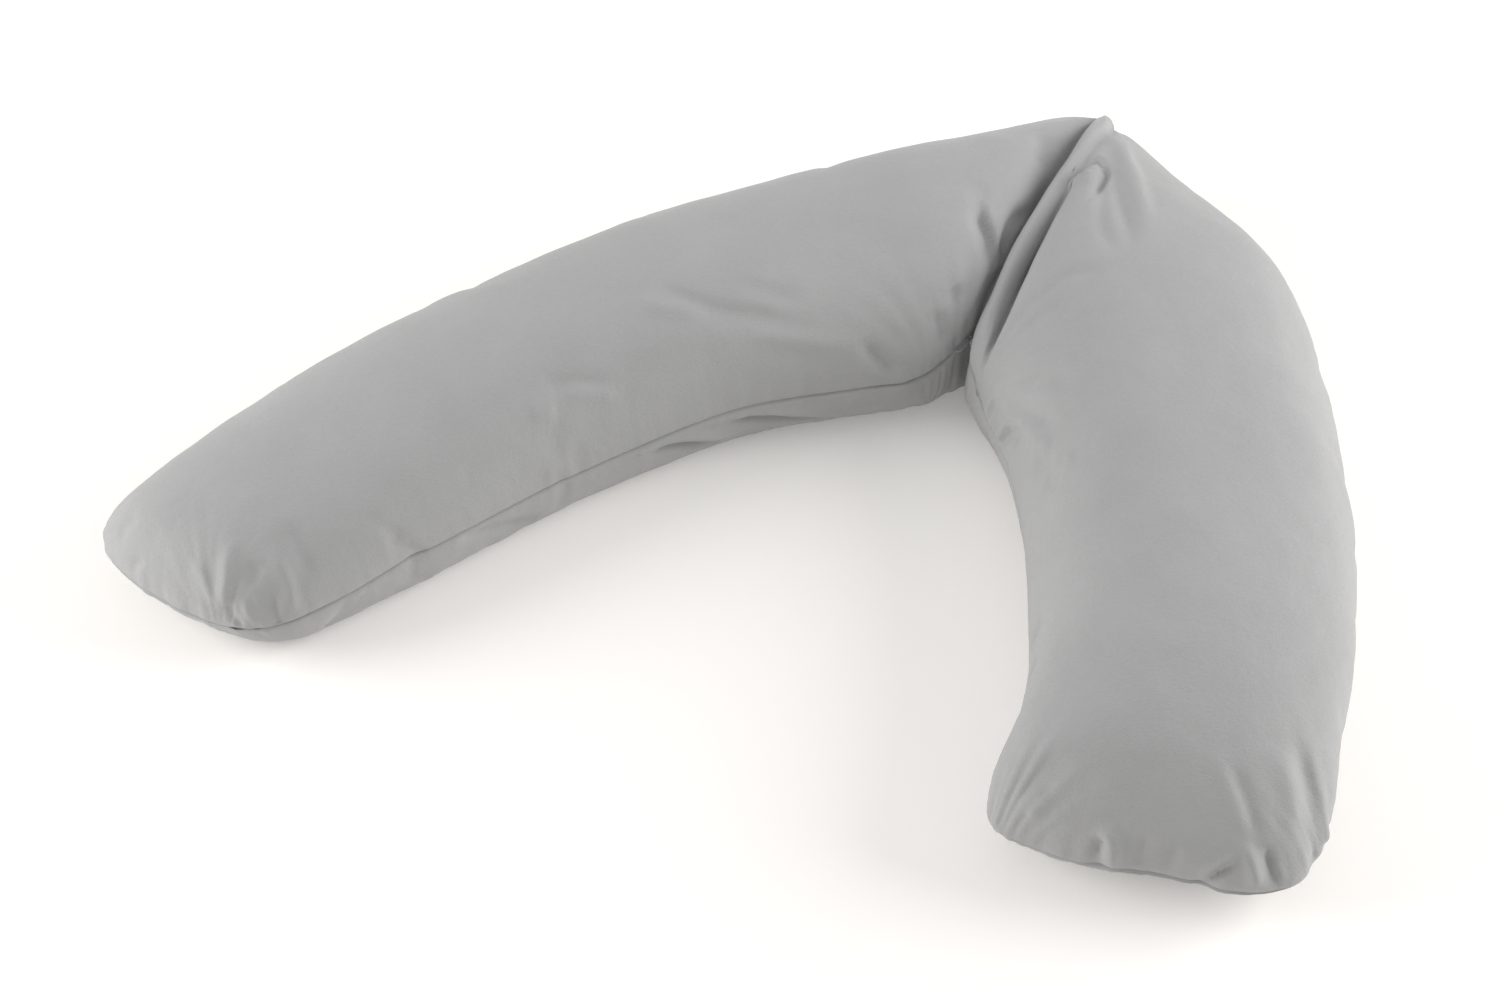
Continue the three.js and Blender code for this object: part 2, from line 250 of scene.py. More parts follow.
def letSwell(piece):
    # blows the cover up a little as cloth, so that it settles as a filled one does
    pins = piece.vertex_groups.new(name="held")
    low = restShape[:, 2] < softness["resting"]
    pins.add([int(i) for i in np.nonzero(low)[0]], softness["heldOnGround"], "REPLACE")
    pins.add([int(i) for i in np.nonzero(~low)[0]], softness["heldElsewhere"], "REPLACE")
    cloth = piece.modifiers.new("cloth", "CLOTH")
    settings = cloth.settings
    settings.quality = softness["quality"]
    settings.mass = softness["mass"]
    settings.tension_stiffness = settings.compression_stiffness = softness["stretch"]
    settings.shear_stiffness = softness["shear"]
    settings.bending_stiffness = softness["bending"]
    settings.use_pressure = True
    settings.uniform_pressure_force = softness["pressure"]
    settings.shrink_min = -softness["extraCloth"]
    settings.vertex_group_mass = "held"
    settings.pin_stiffness = 1
    settings.effector_weights.gravity = 0
    cloth.collision_settings.use_collision = False
    scene = bpy.context.scene
    for step in range(1, softness["frames"] + 1):
        scene.frame_set(step)
    applyModifiers(piece)
    scene.frame_set(1)
    piece.vertex_groups.clear()
    moved = vertexArray(piece.data) - restShape
    length = np.linalg.norm(moved, axis=1)
    capped = softness["furthest"] * np.tanh(length / softness["furthest"])
    moved *= (capped / np.maximum(length, 1e-9))[:, None]
    points = restShape + moved
    points[:, 2] = np.maximum(points[:, 2], 0)
    setVertices(piece.data, points)
    average, most = (round(float(value) * 1000, 1) for value in (length.mean(), length.max()))
    print("  cloth moved", average, "mm on average,", most, "mm at most")


letSwell(pillow)

print("finer mesh")
finer = pillow.modifiers.new("finer", "SUBSURF")
finer.levels = finer.render_levels = 2
applyModifiers(pillow)


def attributeOf(mesh, name):
    values = np.empty(len(mesh.vertices))
    mesh.attributes[name].data.foreach_get("value", values)
    return values


def smoothStep(value, low, high):
    t = np.clip((value - low) / (high - low), 0, 1)
    return t * t * (3 - 2 * t)


def distanceToPath(points, path):
    # how far each point is from a path, how far along it that is (0 to 1), and on which hand (left is +)
    best = np.full(len(points), 1e9)
    place = np.zeros(len(points))
    hand = np.ones(len(points))
    lengths = np.linalg.norm(np.diff(path, axis=0), axis=1)
    start = np.concatenate([[0], np.cumsum(lengths)])
    for i in range(len(path) - 1):
        leg = path[i + 1] - path[i]
        offset = points - path[i]
        t = np.clip(offset @ leg / (leg @ leg), 0, 1)
        away = offset - t[:, None] * leg
        distance = np.linalg.norm(away, axis=1)
        nearer = distance < best
        best[nearer] = distance[nearer]
        place[nearer] = ((start[i] + t * lengths[i]) / start[-1])[nearer]
        hand[nearer] = np.sign(leg[0] * offset[:, 1] - leg[1] * offset[:, 0])[nearer]  # as seen from above
    return best, place, hand


def smoothPath(corners, steps=12):
    corners = np.array(corners, float)
    t = np.linspace(0, len(corners) - 1, steps * (len(corners) - 1) + 1)
    return curveThrough(corners, np.clip(t, 0, len(corners) - 1 - 1e-9))


def noiseAt(points, scale, seed=0.0):
    # smooth noise from -1 to 1, with a wavelength of scale metres
    moved = points / scale + seed
    return np.array([noise.noise(p) for p in moved])


# How loose the cloth is: how much its folds and gathers are raised, and how high in mm and how large in
# metres its broad and its middling unevenness are.
slack = {
    "folds": 1.7,
    "gathers": 2.0,
    "broad": 2.6,
    "broadSize": 0.13,
    "middle": 0.7,
    "middleSize": 0.035,
    "stretch": (1.0, 1.0, 1.6),
}

mesh = pillow.data
points = vertexArray(mesh)
side = attributeOf(mesh, "side")
along = attributeOf(mesh, "along")
across = attributeOf(mesh, "across")

# The fold: the left arm runs down into a deep crease, and the right arm's cloth stands up beside it as a
# pleat with a groove behind. Depths in mm go from the inner corner to the outer one.
fold = {
    "crease": {
        "station": creaseStation,
        "steep": (12, 18, 20, 16, 9, 5, 2, 0),
        "near": 3,  # how far from the line the steep part reaches
        "broad": (3, 4, 6, 12, 20, 22, 12, 0),
        "far": 34,  # and the broad part
        "right": 3,  # and both on the line's right
    },
    "groove": {
        "station": grooveStation,
        "steep": (0, 18, 26, 18, 8, 2, 0, 0),
        "near": 8,
        "broad": (0, 0, 0, 0, 0, 0, 0, 0),
        "far": 20,
        "right": 4,
    },
    "notch": 20,  # how far the inner corner is drawn in
    "notchWidth": 8,
    "lowest": 0.03,  # metres from the ground, below which nothing is pressed
    "rim": 0.06,
    "points": 60,  # of each line
}


def stationPath(station):
    across = np.linspace(-1, 1, fold["points"])
    return pillowPoints(np.full(fold["points"], station / (len(stations) - 1)), across, 1)[:, :2]


def pressFold(points, side, across):
    upper = smoothStep(side, 0.0, fold["rim"])
    moved = points.copy()
    for name in ("crease", "groove"):
        line = fold[name]
        distance, place, hand = distanceToPath(points[:, :2], stationPath(line["station"]))
        distance = distance * 1000
        shares = np.linspace(0, 1, len(line["steep"]))
        steep, broad = (np.interp(place, shares, line[key]) / 1000 for key in ("steep", "broad"))
        left = steep * np.exp(-distance / line["near"]) + broad * np.exp(-distance / line["far"])
        press = np.where(hand > 0, left, (steep + broad) * np.exp(-distance / line["right"]))
        moved[:, 2] -= np.minimum(press, np.maximum(points[:, 2] - fold["lowest"], 0)) * upper
        if name == "crease":
            path = stationPath(line["station"])
            inward = (path[-1] - path[0]) / np.linalg.norm(path[-1] - path[0])
            pull = np.exp(-distance / fold["notchWidth"]) * smoothStep(-across, 0.2, 1.0)
            moved[:, :2] += inward * (fold["notch"] / 1000 * pull)[:, None]
    return moved


print("creases")
points = pressFold(points, side, across)
setVertices(mesh, points)

# Soft folds and dents of the cover: the height (or depth, below 0) and the width on the left and on the right
# of the fold's path in mm, then the path itself as (station, across). Across runs from -1 at
# the inner seam to 1 at the outer one.
folds = {
    "left arm, middle": [
        (-2.4, 8, 12, (3.75, -0.1), (3.9, -0.27), (4.1, -0.42), (4.35, -0.5), (4.6, -0.58)),
        (2.0, 7, 9, (3.65, -0.2), (3.8, -0.3), (4.0, -0.4)),
        (-1.4, 8, 9, (4.2, -0.27), (4.4, -0.38), (4.6, -0.45)),
        (1.6, 8, 10, (4.2, -0.56), (4.6, -0.66), (5.0, -0.7)),
        (-2.3, 8, 9, (3.0, -0.38), (3.25, -0.5), (3.4, -0.58)),
        (2.0, 7, 9, (3.1, -0.46), (3.3, -0.57), (3.4, -0.64)),
        (1.1, 8, 9, (2.9, -0.5), (3.05, -0.56)),
        (-2.6, 9, 7, (5.05, -0.7), (5.25, -0.83), (5.6, -0.92)),
    ],
    "left arm, by the fold": [
        (-6.0, 5, 13, (6.5, -0.1), (6.85, -0.24), (7.8, -0.41)),
        (-4.5, 6, 12, (7.9, -0.08), (7.7, -0.2), (7.9, -0.37)),
        (-1.8, 12, 12, (6.4, 0.03), (6.5, -0.16)),
        (-2.4, 8, 10, (6.45, -0.5), (6.8, -0.62)),
        (-2.6, 8, 9, (6.1, -0.6), (6.4, -0.74), (6.5, -0.84)),
        (-3.0, 14, 14, (7.0, 0.4), (7.35, 0.25), (7.6, 0.1)),
    ],
    "right arm, by the fold": [
        (-3.4, 4, 5, (9.8, 0.14), (10.4, 0.24), (11.0, 0.22), (11.1, 0.06)),
        (2.6, 5, 5, (9.8, 0.06), (10.4, 0.14), (10.8, 0.13)),
        (-2.4, 8, 9, (10.4, 0.42), (11.1, 0.27), (11.7, 0.15), (12.05, 0.08), (12.2, 0.0)),
        (2.6, 9, 12, (10.5, 0.52), (11.1, 0.38), (11.75, 0.25), (12.2, 0.14)),
        (-1.8, 6, 7, (11.0, 0.2), (11.6, 0.02), (12.1, -0.02)),
        (-2.0, 7, 8, (11.1, -0.38), (11.6, -0.2), (12.1, -0.1)),
        (-1.8, 7, 9, (10.9, -0.5), (11.6, -0.35), (12.2, -0.25)),
        (-1.9, 8, 10, (11.6, -0.7), (12.2, -0.5), (12.6, -0.42)),
        (-2.0, 6, 9, (11.3, -0.85), (11.8, -0.72), (12.3, -0.62), (12.8, -0.55)),
        (1.8, 9, 10, (11.9, -0.77), (12.5, -0.66)),
        (-2.2, 6, 8, (11.4, -0.93), (11.9, -0.82), (12.2, -0.76)),
        (2.0, 7, 9, (12.4, -0.72), (12.8, -0.62)),
        (-1.9, 7, 9, (12.6, -0.74), (13.0, -0.62)),
        (-1.6, 9, 10, (13.0, -0.7), (13.3, -0.6)),
        (-1.0, 10, 12, (13.2, -0.55), (13.5, -0.4)),
    ],
    "right arm, its sides": [
        (-2.2, 7, 8, (14.6, -0.98), (14.6, -0.8)),
        (-2.6, 6, 7, (15.2, -0.97), (15.15, -0.82)),
        (-3.2, 6, 12, (15.6, -0.99), (16.2, -0.98)),
        (-3.0, 7, 9, (15.2, 0.85), (15.4, 0.88)),
    ],
    "right tip": [
        (1.3, 6, 9, (17.25, 0.13), (17.5, 0.26), (17.75, 0.38)),
        (-1.5, 6, 8, (17.3, 0.2), (17.55, 0.32), (17.78, 0.44)),
        (-2.4, 8, 10, (17.1, 0.47), (17.35, 0.58), (17.6, 0.7), (17.85, 0.88)),
        (1.5, 8, 9, (17.15, 0.38), (17.45, 0.5), (17.7, 0.6)),
        (-3.2, 3, 5, (17.75, 0.46), (17.87, 0.54), (17.94, 0.61), (17.99, 0.66)),
        (2.6, 5, 6, (17.75, 0.34), (17.87, 0.43), (17.95, 0.5), (17.98, 0.54)),
        (2.2, 4, 5, (17.82, 0.36), (17.9, 0.29), (17.97, 0.22)),
        (-2.6, 3, 4, (17.86, 0.36), (17.93, 0.3), (17.98, 0.24)),
        (-3.0, 4, 5, (17.82, -0.27), (17.9, -0.28), (17.99, -0.31)),
        (3.0, 6, 9, (17.75, -0.22), (17.88, -0.22), (17.98, -0.2)),
        (-1.4, 4, 5, (17.8, -0.06), (17.98, -0.1)),
        (-1.2, 4, 5, (17.82, 0.06), (17.98, 0.05)),
        (-1.1, 7, 9, (17.6, -0.64), (17.4, -0.54), (17.15, -0.42)),
        (1.1, 7, 9, (17.75, -0.64), (17.5, -0.53)),
    ],
    "left tip": [
        (2.4, 5, 7, (1.0, -0.26), (0.7, -0.42), (0.42, -0.57), (0.25, -0.68)),
        (1.2, 5, 6, (0.6, -0.2), (0.42, -0.4), (0.25, -0.6)),
        (-1.6, 7, 8, (1.0, -0.44), (0.75, -0.6)),
        (2.0, 6, 8, (1.15, -0.42), (1.1, -0.6), (1.03, -0.75), (0.9, -0.92)),
        (-1.6, 7, 9, (1.38, -0.36), (1.3, -0.55), (1.25, -0.75)),
        (-1.3, 4, 5, (0.4, -0.62), (0.28, -0.75), (0.2, -0.9)),
        (1.2, 4, 5, (0.6, -0.62), (0.5, -0.75), (0.4, -0.92)),
        (-1.2, 4, 6, (0.9, -0.68), (0.8, -0.8), (0.7, -0.96)),
        (-1.0, 6, 7, (0.6, 0.3), (0.4, 0.36), (0.2, 0.38)),
        (-0.8, 4, 5, (0.22, 0.05), (0.15, 0.1), (0.06, 0.17)),
    ],
    "lower panel": [
        (4.0, 6, 7, (3.85, -0.995), (4.15, -0.96), (4.5, -0.9), (4.9, -0.8)),
        (-5.0, 6, 9, (3.95, -0.96), (4.2, -0.92), (4.5, -0.85), (4.8, -0.76)),
        (4.0, 6, 7, (3.35, -0.995), (3.6, -0.96), (3.8, -0.9), (4.05, -0.8)),
        (-5.0, 6, 9, (3.45, -0.96), (3.65, -0.92), (3.8, -0.85), (3.95, -0.76)),
        (-3.0, 8, 10, (2.3, -0.98), (2.5, -0.92), (2.8, -0.8)),
    ],
}
# the short puckers beside each other where the right arm's inner seam is drawn together
drawnSeam = {"from": 10.3, "to": 12, "apart": 0.17, "height": 1.5, "uneven": 2.4, "lean": 0.25}
for number, station in enumerate(np.arange(drawnSeam["from"], drawnSeam["to"], drawnSeam["apart"])):
    height = drawnSeam["height"] * math.sin(drawnSeam["uneven"] * number)
    ends = (station, -0.99), (station + drawnSeam["lean"], -0.82)
    folds["right arm, by the fold"].append((height, 4, 5, *ends))

foldShape = {
    "smoothing": 8,  # passes over each path
    "reach": 3,  # how many widths away a fold still shows
    "fade": 0.3,  # the share of its length over which each end fades
    "atEnds": 0.15,  # how much of its height is left there
    "seamSide": 0.08,  # a fold that ends nearer the seam than this runs on to it
    "rim": 0.1,  # how near the seam the folds die away
}


def raiseFolds(points, normals):
    offset = np.zeros(len(points))
    last = len(stations) - 1
    for place, rows in folds.items():
        panel = -1 if place == "lower panel" else 1
        own = np.nonzero(side * panel > 0)[0]
        finder = KDTree(len(own))
        for v in own:
            finder.insert((along[v] * last, across[v], 0), int(v))
        finder.balance()
        for height, near, far, *corners in rows:
            path = np.array([points[finder.find((t, a, 0))[1]] for t, a in smoothPath(corners)])
            for _ in range(foldShape["smoothing"]):
                path[1:-1] = (path[:-2] + path[1:-1] + path[2:]) / 3
            reach = foldShape["reach"] * max(near, far) / 1000
            box = ((points > path.min(axis=0) - reach) & (points < path.max(axis=0) + reach)).all(axis=1)
            close = np.nonzero(box & (side * panel > 0))[0]
            distance, share, hand = distanceToPath(points[close], path)
            width = np.where(hand > 0, near, far) / 1000
            ends = smoothStep(share, 0, foldShape["fade"])
            final = finder.find((*corners[-1], 0))[1]
            if abs(side[final]) > foldShape["seamSide"]:
                ends *= 1 - smoothStep(share, 1 - foldShape["fade"], 1)
            raised = slack["folds"] * height / 1000 * np.exp(-((distance / width) ** 2))
            offset[close] += raised * (foldShape["atEnds"] + (1 - foldShape["atEnds"]) * ends) * (ends > 0)
    return points + normals * (offset * smoothStep(np.abs(side), 0, foldShape["rim"]))[:, None]


print("folds")
points = raiseFolds(points, vertexArray(mesh, "normal"))
setVertices(mesh, points)

print("seam and puckers")
seamIds = np.nonzero(np.abs(side) < 1e-4)[0]
order = seamIds[np.argsort(along[seamIds])]
# where the seam is drawn in: how far and over what width, in mm
tucks = [
    {"station": 18, "across": 0.05, "pull": 8, "width": 38},
    {"station": 18, "across": -0.29, "pull": 4, "width": 9},
    {"station": 18, "across": 0.23, "pull": 4, "width": 8},
    {"station": 18, "across": 1, "pull": 5, "width": 12},
    {"station": 0, "across": 1, "pull": 8, "width": 13},
]
for tuck in tucks:
    gap = np.abs(along[order] * (len(stations) - 1) - tuck["station"])
    gap += np.abs(across[order] - tuck["across"])
    place = points[order[np.argmin(gap)]]
    nextRow = stationRows[1 if tuck["station"] == 0 else -2]
    inward = nextRow[0:2] + nextRow[2:4] - 2 * place[:2]
    inward /= np.linalg.norm(inward)
    widths = np.linalg.norm(points - place, axis=1) / (tuck["width"] / 1000)
    pull = tuck["pull"] / 1000 * np.exp(-(widths**2))
    points[:, :2] += pull[:, None] * inward

tree = KDTree(len(order))
for i, v in enumerate(order):
    tree.insert(points[v], i)
tree.balance()
found = [tree.find(p) for p in points]
seamDistance = np.array([f[2] for f in found])
seamPlace = np.array([f[0] for f in found])

# The seam's own groove and its puckers, in mm.
seam = {
    "groove": 4.5,
    "grooveWidth": 1.3,
    "pucker": 0.9,
    "puckerReach": 26,
    "puckerPitch": 17,
    "finePitch": 17 / 2.2,
    "finePucker": 0.5,
    "tipPucker": 1.6,  # how much stronger the puckers are at the tips
    "tipShare": 0.1,  # of the pillow's length
    "fold": 0.43,  # the fold's place along the pillow, where the cloth is pinched smooth
    "foldShare": 0.12,
    "flat": 0.65,  # how much the seam is drawn flat inside the right arm
}

# The zip lies on an arc about the same far centre that its slider turns about.
zipper = {
    "radius": 1.4586,
    "height": 0.06235,
    "from": 109.2,  # degrees round the arc, the closed end
    "to": 127.98,
    "parted": 0.0046,  # how far each edge of the cover stands from the middle of the zip
    "clearFrom": (0.35, -0.1),  # degrees before the closed end, over which the cover starts to part
    "clearTo": (0.15, 0.6),  # and past the open end, over which it closes again
    "behind": 0.05,  # metres: only the outer seam lies so far back
    "reach": 0.016,
    "edgeOut": 0.0010,  # how far the cover's edges stand out beyond the arc
    "edgePull": 1.3,
    "hem": ((0.0008, 0.0003), (0.0007, -0.0012), (0.0006, -0.008)),  # its turns: how far in, how far along
    "hemReach": 0.012,
    "stitch": 0.0032,
    "stitchFromEdge": 0.0035,
    "stitchSize": (0.0012, 0.0003, 0.0003),
    "stitchSearch": 0.004,
    "stitchLift": 0.0001,
    "tooth": 0.0013,
    "toothSize": (0.00042, 0.0010, 0.00095),
    "toothOut": 0.0016,
    "toothUp": 0.00155,
    "toothTurn": 0.25,
    "toothEnds": 0.14,  # degrees
}
zipCentre = np.array(joints["zip_slide"]["pos_m"])[:2]


def zipPlace(points):
    # degrees round the zip's arc and metres from its centre
    away = points[:, :2] - zipCentre
    return np.degrees(np.arctan2(away[:, 1], away[:, 0])), np.linalg.norm(away, axis=1)


def onZip(angle, radius, height):
    turn = np.radians(angle)
    return np.array([zipCentre[0] + radius * np.cos(turn), zipCentre[1] + radius * np.sin(turn), height])


def zipShare(points):
    # 1 on the outer seam beside the zip, falling to 0 past its ends and away from the seam
    angle, radius = zipPlace(points)
    along = smoothStep(angle, *(zipper["from"] - ahead for ahead in zipper["clearFrom"]))
    along *= 1 - smoothStep(angle, *(zipper["to"] + past for past in zipper["clearTo"]))
    away = np.hypot(radius - zipper["radius"], points[:, 2] - zipper["height"])
    return along * np.exp(-((away / zipper["reach"]) ** 2))


def workSeam(points, normals):
    groove = seam["groove"] / 1000 * np.exp(-seamDistance / (seam["grooveWidth"] / 1000))
    near = seamDistance < 4 * seam["puckerReach"] / 1000
    pucker = np.zeros(len(points))
    pucker[near] = noiseAt(seamPlace[near], seam["puckerPitch"] / 1000, 3.1)
    pucker[near] += seam["finePucker"] * noiseAt(seamPlace[near], seam["finePitch"] / 1000, 8.7)
    tips = 1 + seam["tipPucker"] * (1 - smoothStep(np.minimum(along, 1 - along), 0.0, seam["tipShare"]))
    tips *= 0.25 + 0.75 * smoothStep(np.abs(along - seam["fold"]), 0.0, seam["foldShare"])
    groove *= 1 - seam["flat"] * smoothStep(along, 0.5, 0.6) * smoothStep(-across, 0, 0.5)
    groove *= 1 - zipShare(points)
    reach = seam["puckerReach"] / 1000
    fade = np.exp(-seamDistance / reach) * smoothStep(seamDistance, 0, 0.006)
    return points + normals * (seam["pucker"] / 1000 * pucker * tips * fade - groove)[:, None]


points = workSeam(points, vertexArray(mesh, "normal"))
setVertices(mesh, points)

print("gathers")
# Wrinkles that fan out from where the seam turns a corner: the corner, how far they reach, how many there
# are to a full turn, and their height, in mm.
gathers = [
    {"corner": (222, 74), "from": 40, "to": 170, "count": 44, "height": 1.0},
    {"corner": (372, 428), "from": 20, "to": 110, "count": 40, "height": 1.0},
    {"corner": (505, -443), "from": 25, "to": 170, "count": 60, "height": 1.0},
    {"corner": (200, -395), "from": 20, "to": 140, "count": 60, "height": 1.0},
    {"corner": (-432, -184), "from": 18, "to": 120, "count": 50, "height": 0.6},
    {"corner": (-570, -70), "from": 15, "to": 100, "count": 50, "height": 0.9},
]
offset = np.zeros(len(points))
for number, gather in enumerate(gathers):
    away = points[:, :2] - np.array(gather["corner"]) / 1000
    radius = np.linalg.norm(away, axis=1) * 1000
    near = np.nonzero(radius < gather["to"])[0]
    angle = np.arctan2(away[near, 1], away[near, 0])
    turn = gather["count"] / (2 * math.pi)
    ring = np.column_stack([np.cos(angle) * turn, np.sin(angle) * turn, radius[near] / 60 + 7 * number])
    fade = smoothStep(radius[near], 0, gather["from"])
    fade *= 1 - smoothStep(radius[near], gather["from"], gather["to"])
    offset[near] += slack["gathers"] * gather["height"] / 1000 * noiseAt(ring, 1.0) * fade
offset *= smoothStep(np.abs(side), 0, foldShape["rim"])
points = points + vertexArray(mesh, "normal") * offset[:, None]
setVertices(mesh, points)

print("loose cloth")
normals = vertexArray(mesh, "normal")
stretch = np.array(slack["stretch"])
loose = slack["broad"] / 1000 * noiseAt(points * stretch, slack["broadSize"], 1.7)
loose += slack["middle"] / 1000 * noiseAt(points * stretch, slack["middleSize"], 5.2)
points = points + normals * (loose * smoothStep(seamDistance, 0.004, 0.05))[:, None]
points[:, 2] = np.maximum(points[:, 2], 0)
setVertices(mesh, points)


def addNode(tree, kind, settings=None, **inputs):
    # adds a shader node with its settings, and sets or links its inputs
    node = tree.nodes.new(kind)
    for key, value in (settings or {}).items():
        setattr(node, key, value)
    for key, value in inputs.items():
        socket = node.inputs[key.replace("_", " ")]
        if isinstance(value, bpy.types.NodeSocket):
            tree.links.new(value, socket)
        else:
            socket.default_value = value
    return node


def linear(hexColour):
    # an sRGB hex colour as linear red, green, blue and alpha
    channels = [int(hexColour[i : i + 2], 16) / 255 for i in (1, 3, 5)]
    return (*[c / 12.92 if c <= 0.04045 else ((c + 0.055) / 1.055) ** 2.4 for c in channels], 1)


def newMaterial(name):
    material = bpy.data.materials.new(name)
    material.use_nodes = True
    material.node_tree.nodes.clear()
    return material, material.node_tree


def perMetre(millimetres):
    # the scale of a pattern that repeats about once in so many millimetres
    return 1000 / millimetres


# Cotton jersey, piece-dyed and lightly brushed: matte, with a soft pale nap where the cloth turns away, fine
# uneven yarns that show as a speckle, and a slight diagonal from the knitting. The yarns are about 0.5 mm
# apart and are drawn three times as coarse, so that they show. Sizes are in mm and depths in metres.
knit = {
    "dark": "#979797",
    "pale": "#b0b0b0",
    "speckle": 0.4,  # how much of the tone is the yarns' and not the dye's
    "dyeSize": 111.1,
    "yarnSize": 1.613,
    "yarnDepth": 0.0005,
    "ribSize": 4.762,
    "ribDepth": 0.0007,
    "ribTurn": (0, 0, 0.9),
    "ribStretch": (1.0, 3.2, 1.6),
    "softSize": 18.18,
    "softDepth": 0.0015,
    "roughness": 0.92,
    "shine": 0.2,
    "nap": 0.2,
    "napRoughness": 0.5,
}


def jersey():
    material, tree = newMaterial("cotton jersey, piece-dyed and brushed")
    place = addNode(tree, "ShaderNodeTexCoord").outputs["Object"]
    noiseKind = "ShaderNodeTexNoise"
    dye = addNode(tree, noiseKind, Vector=place, Scale=perMetre(knit["dyeSize"]), Detail=5.0, Roughness=0.6)
    yarn = addNode(tree, noiseKind, Vector=place, Scale=perMetre(knit["yarnSize"]), Detail=3.0, Roughness=0.7)
    soft = addNode(tree, noiseKind, Vector=place, Scale=perMetre(knit["softSize"]), Detail=4.0, Roughness=0.6)
    lean = addNode(
        tree, "ShaderNodeMapping", {"vector_type": "POINT"},
        Vector=place, Rotation=knit["ribTurn"], Scale=knit["ribStretch"],
    ).outputs["Vector"]
    ribs = addNode(tree, noiseKind, Vector=lean, Scale=perMetre(knit["ribSize"]), Detail=2.0, Roughness=0.6)
    shade = addNode(tree, "ShaderNodeMix", {"data_type": "FLOAT"}, Factor=knit["speckle"])
    tree.links.new(dye.outputs["Fac"], shade.inputs["A"])
    tree.links.new(yarn.outputs["Fac"], shade.inputs["B"])
    tone = addNode(tree, "ShaderNodeMix", {"data_type": "RGBA"}, Factor=shade.outputs["Result"])
    tone.inputs["A"].default_value = linear(knit["dark"])
    tone.inputs["B"].default_value = linear(knit["pale"])
    height = yarn.outputs["Fac"]
    bump = addNode(tree, "ShaderNodeBump", Strength=0.55, Distance=knit["yarnDepth"], Height=height)
    for pattern, depth in ((ribs, knit["ribDepth"]), (soft, knit["softDepth"])):
        below = bump.outputs["Normal"]
        height = pattern.outputs["Fac"]
        bump = addNode(tree, "ShaderNodeBump", Strength=0.5, Distance=depth, Height=height, Normal=below)
    shader = addNode(tree, "ShaderNodeBsdfPrincipled", Normal=bump.outputs["Normal"])
    shader.inputs["Roughness"].default_value = knit["roughness"]
    shader.inputs["Specular IOR Level"].default_value = knit["shine"]
    shader.inputs["Sheen Weight"].default_value = knit["nap"]
    shader.inputs["Sheen Roughness"].default_value = knit["napRoughness"]
    tree.links.new(tone.outputs["Result"], shader.inputs["Base Color"])
    addNode(tree, "ShaderNodeOutputMaterial", Surface=shader.outputs["BSDF"])
    return material


print("cover panels")
cloth = jersey()


def onePanel(source, keep):
    # the closed form's upper (0) or lower (1) panel
    bm = bmesh.new()
    bm.from_mesh(source)
    bmesh.ops.delete(bm, geom=[f for f in bm.faces if f.material_index != keep], context="FACES")
    for face in bm.faces:
        face.material_index = 0
    return bm


def finishPiece(name, bm, material):
    made = bpy.data.meshes.new(name)
    bm.to_mesh(made)
    bm.free()
    made.materials.append(material)
    return newObject(name, made)


def besideZip(edge):
    # whether an open edge of a panel lies on the zip's arc
    angles, _ = zipPlace(np.array([v.co for v in edge.verts]))
    place = edge.verts[0].co
    level = abs(place.z - zipper["height"]) < zipper["hemReach"]
    return level and place.y > zipper["behind"] and all(zipper["from"] < a < zipper["to"] for a in angles)


def panelOf(name, keep):
    # one panel of the cover, its edge hemmed beside the zip
    bm = onePanel(mesh, keep)
    way = 1 if keep == 0 else -1
    form = np.array([v.co for v in bm.verts])
    share = zipShare(form)
    angle, _ = zipPlace(form)
    for v, s, a in zip(bm.verts, share, angle):
        if s > 0.001:
            v.co.z += way * zipper["parted"] * s
            if v.is_boundary:
                edgeHeight = zipper["height"] + way * zipper["parted"]
                target = onZip(a, zipper["radius"] + zipper["edgeOut"], edgeHeight)
                v.co = v.co.lerp(Vector(target), min(1, zipper["edgePull"] * s))
    for face in bm.faces:
        face.smooth = True
    beside = [e for e in bm.edges if e.is_boundary and besideZip(e)]
    for inward, along in zipper["hem"]:
        made = bmesh.ops.extrude_edge_only(bm, edges=beside)["geom"]
        beside = [g for g in made if isinstance(g, bmesh.types.BMEdge)]
        for v in {v for e in beside for v in e.verts}:
            out = v.co.xy - Vector(zipCentre)
            v.co.xy -= out.normalized() * inward
            v.co.z -= way * along
        beside = [e for e in beside if e.is_boundary]
        for face in {f for e in beside for f in e.link_faces}:
            face.smooth = True
    bmesh.ops.recalc_face_normals(bm, faces=bm.faces)
    return finishPiece(name, bm, cloth)


coverTop = panelOf("cover_top", 0)
coverBottom = panelOf("cover_bottom", 1)


def bend(piece):
    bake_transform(piece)


print("casing and filling")
# The casing and the filling are the cover's form moved in, in metres.
inner = {
    "casingInset": 0.006,
    "beadInset": 0.009,
    "tipShare": 0.09,  # of the pillow's length, in which the seam is drawn straight back from the tip
    "middleHeight": 0.055,
    "rim": (0.05, 0.3),
    "rimInset": 1.5,
    "rimExtra": 0.003,
    "corners": (((0.224, 0.1), (0.262, 0.2, 0.06)), ((0.382, 0.425), (0.335, 0.34, 0.06))),
    "cornerPull": 0.55,
    "cornerReach": 0.055,
    "offGround": 0.4,
}


